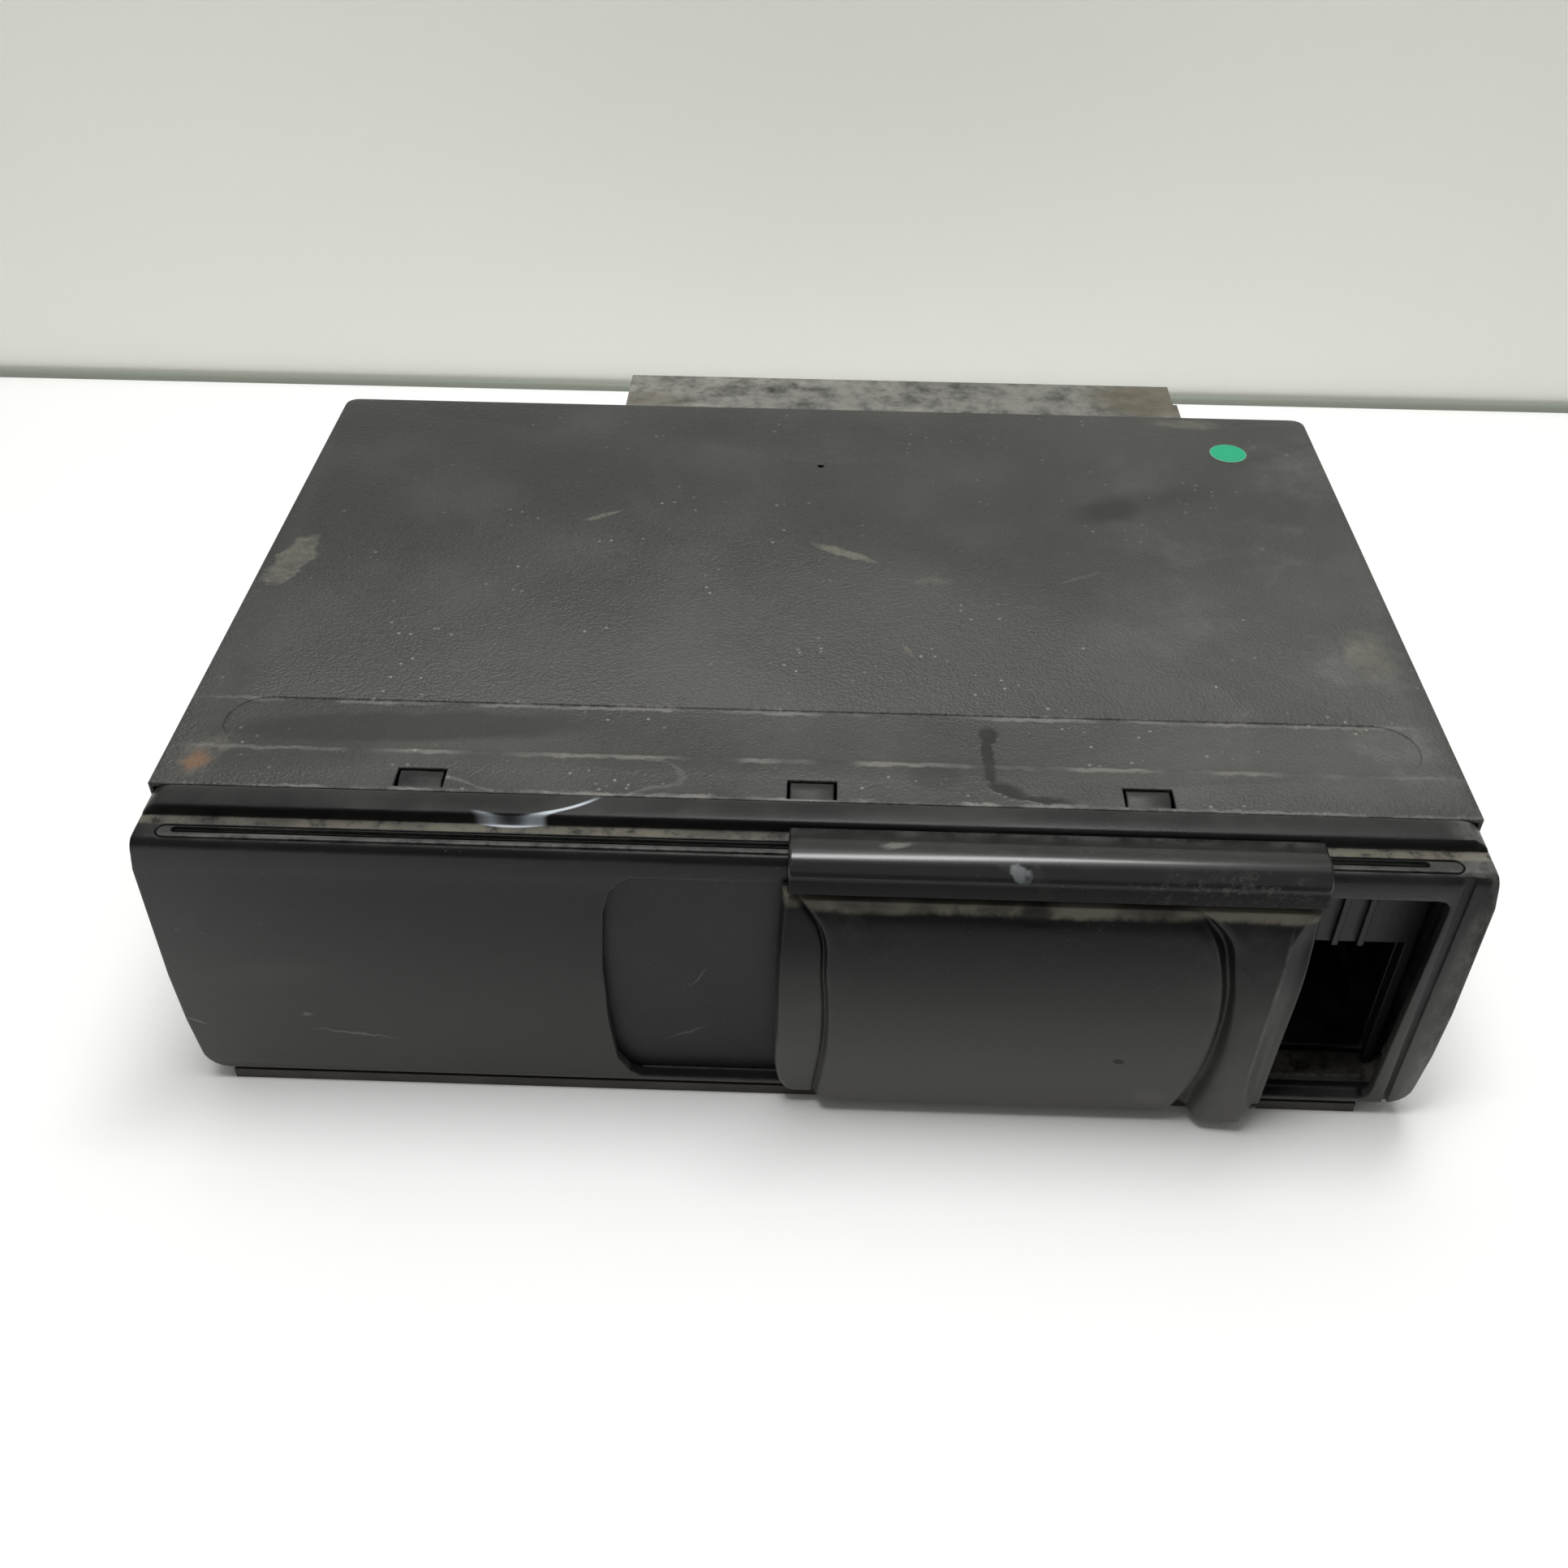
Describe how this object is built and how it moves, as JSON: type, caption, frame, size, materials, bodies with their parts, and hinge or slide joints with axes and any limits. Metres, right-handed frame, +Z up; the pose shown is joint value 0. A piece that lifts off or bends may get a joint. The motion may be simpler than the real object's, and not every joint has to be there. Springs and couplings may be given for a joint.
{
  "type": "car cd changer",
  "caption": "Flat black metal box that stores a disc magazine: plastic front with a sliding two-leaf door, lift with a disc deck and its drives inside, angle bracket at the back.",
  "frame": {"origin": "Midway across the whole width and depth, door and rear bracket included, with z = 0 at the underside that the case rests on.", "axes": "+X runs along the width, to the right for someone who faces the door. -Y points out of the front with the door. +Z is up, out of the top cover."},
  "size_m": [0.2556, 0.1962, 0.0718],
  "materials": {
    "black_front_plastic": "satin, dusty",
    "door_plastic": "satin, worn",
    "inner_plastic": "matt",
    "black_painted_sheet": "fine black paint, dusty",
    "zinc_sheet": "dull zinc plating",
    "bright_sheet": "satin zinc plating",
    "black_screw": "black oxide",
    "plated_screw": "zinc plated",
    "spring_steel": "drawn wire",
    "ground_steel": "ground and polished",
    "motor_can": "nickel plated can",
    "white_acetal": "natural acetal",
    "black_plastic_socket": "matt",
    "damper_rubber": "soft",
    "circuit_board": "green solder mask",
    "pickup_body": "filled resin",
    "lens_clear": "coated lens",
    "brass_worm": "turned"
  },
  "bodies": {
    "case": {"front_bezel": "black_front_plastic", "slide_rail": "black_front_plastic", "top_cover": "black_painted_sheet", "cover_screw_left_front": "black_screw", "cover_screw_left_rear": "black_screw", "cover_screw_right_front": "black_screw", "cover_screw_right_rear": "black_screw", "bottom_pan": "zinc_sheet", "rear_panel": "zinc_sheet", "data_socket": "black_plastic_socket", "rear_bracket": "zinc_sheet", "bracket_screw_left": "black_screw", "bracket_screw_right": "black_screw", "chassis": "zinc_sheet", "chassis_screw_1": "plated_screw", "chassis_screw_2": "plated_screw", "chassis_screw_3": "plated_screw", "chassis_screw_4": "plated_screw", "magazine_slot_frame": "inner_plastic", "magazine_rail_left": "inner_plastic", "magazine_rail_right": "inner_plastic", "bay_roof": "bright_sheet", "button_spring": "spring_steel", "ejector_spring": "spring_steel", "lift_motor": "motor_can", "drive_bracket": "bright_sheet", "gear_axle": "ground_steel", "main_board": "circuit_board"},
    "door": {"door_carriage": "door_plastic", "door_panel": "door_plastic"},
    "inner_door": {"inner_door_leaf": "inner_plastic"},
    "eject_button": {"eject_button": "inner_plastic"},
    "latch": {"magazine_latch": "bright_sheet"},
    "ejector": {"ejector": "white_acetal"},
    "cam": {"cam_slide": "bright_sheet"},
    "lift_gear": {"lift_gear": "white_acetal"},
    "motor_pinion": {"motor_pinion": "brass_worm"},
    "lift": {"lift_frame": "bright_sheet", "loading_plate": "bright_sheet", "loading_motor": "motor_can", "deck_damper_1": "damper_rubber", "deck_damper_2": "damper_rubber", "deck_damper_3": "damper_rubber", "deck_damper_4": "damper_rubber", "deck_plate": "bright_sheet", "spindle_motor": "motor_can", "sled_rod_left": "ground_steel", "sled_rod_right": "ground_steel", "feed_motor": "motor_can", "arm_pin": "ground_steel", "arm_spring": "spring_steel"},
    "sled": {"pickup_sled": "pickup_body"},
    "lens": {"pickup_lens": "lens_clear"},
    "feed_screw": {"feed_screw": "ground_steel"},
    "turntable": {"turntable": "inner_plastic"},
    "clamp_arm": {"clamp_arm": "bright_sheet"},
    "clamper": {"clamper": "white_acetal"},
    "puller": {"tray_puller": "white_acetal"},
    "loading_pinion": {"loading_pinion": "brass_worm"}
  },
  "joints": [
    {"name": "door_slide", "type": "slide", "parent": "case", "child": "door", "axis": [1, 0, 0], "range_m": [-0.115, 0.024]},
    {"name": "inner_door_slide", "type": "slide", "parent": "case", "child": "inner_door", "axis": [1, 0, 0], "range_m": [-0.0348, 0.0073]},
    {"name": "eject_button_push", "type": "slide", "parent": "case", "child": "eject_button", "axis": [0, 1, 0], "range_m": [0, 0.003], "stiffness_N_per_m": 400, "springref_m": -0.002},
    {"name": "latch_slide", "type": "slide", "parent": "case", "child": "latch", "axis": [-1, 0, 0], "range_m": [0, 0.00301]},
    {"name": "ejector_push", "type": "slide", "parent": "case", "child": "ejector", "axis": [0, 1, 0], "range_m": [0, 0.012], "stiffness_N_per_m": 100, "springref_m": -0.01},
    {"name": "cam_travel", "type": "slide", "parent": "case", "child": "cam", "axis": [-1, 0, 0], "range_m": [0, 0.026]},
    {"name": "lift_travel", "type": "slide", "parent": "case", "child": "lift", "axis": [0, 0, 1], "range_m": [0, 0.02601]},
    {"name": "lift_gear_turn", "type": "hinge", "parent": "case", "child": "lift_gear", "pos_m": [-0.07, -0.067, 0.04965], "axis": [0, 1, 0], "range_deg": [0, 248.4]},
    {"name": "motor_pinion_turn", "type": "hinge", "parent": "case", "child": "motor_pinion", "pos_m": [-0.089, -0.067, 0.0559], "axis": [0, 1, 0], "range_deg": [-745, 0]},
    {"name": "sled_travel", "type": "slide", "parent": "lift", "child": "sled", "axis": [0, 1, 0], "range_m": [0, 0.034]},
    {"name": "feed_screw_turn", "type": "hinge", "parent": "lift", "child": "feed_screw", "pos_m": [-0.088, -0.00215, 0.01], "axis": [0, 1, 0], "range_deg": [0, 6120.1]},
    {"name": "lens_focus", "type": "slide", "parent": "sled", "child": "lens", "axis": [0, 0, 1], "range_m": [-0.0004, 0.0004], "stiffness_N_per_m": 20},
    {"name": "spindle_turn", "type": "hinge", "parent": "lift", "child": "turntable", "pos_m": [-0.063, -0.01565, 0.0155], "axis": [0, 0, 1], "continuous": true},
    {"name": "clamp_arm_turn", "type": "hinge", "parent": "lift", "child": "clamp_arm", "pos_m": [-0.1045, -0.01565, 0.0245], "axis": [0, 1, 0], "range_deg": [0, 4]},
    {"name": "clamper_turn", "type": "hinge", "parent": "clamp_arm", "child": "clamper", "pos_m": [-0.063, -0.01565, 0.0205], "axis": [0, 0, 1], "continuous": true},
    {"name": "puller_travel", "type": "slide", "parent": "lift", "child": "puller", "axis": [-1, 0, 0], "range_m": [0, 0.028]},
    {"name": "loading_pinion_turn", "type": "hinge", "parent": "lift", "child": "loading_pinion", "pos_m": [-0.048, 0.05307, 0.016], "axis": [0, 0, 1], "range_deg": [-334.4, 0]}
  ],
  "couplings": [
    {"joint": "inner_door_slide", "follows": "door_slide", "ratio": 0.302},
    {"joint": "latch_slide", "follows": "eject_button_push", "ratio": 1},
    {"joint": "lift_travel", "follows": "cam_travel", "ratio": 1},
    {"joint": "lift_gear_turn", "follows": "cam_travel", "rad_per_m": 166.67},
    {"joint": "motor_pinion_turn", "follows": "cam_travel", "rad_per_m": -500},
    {"joint": "feed_screw_turn", "follows": "sled_travel", "rad_per_m": 3141.6},
    {"joint": "loading_pinion_turn", "follows": "puller_travel", "rad_per_m": -208.33}
  ]
}
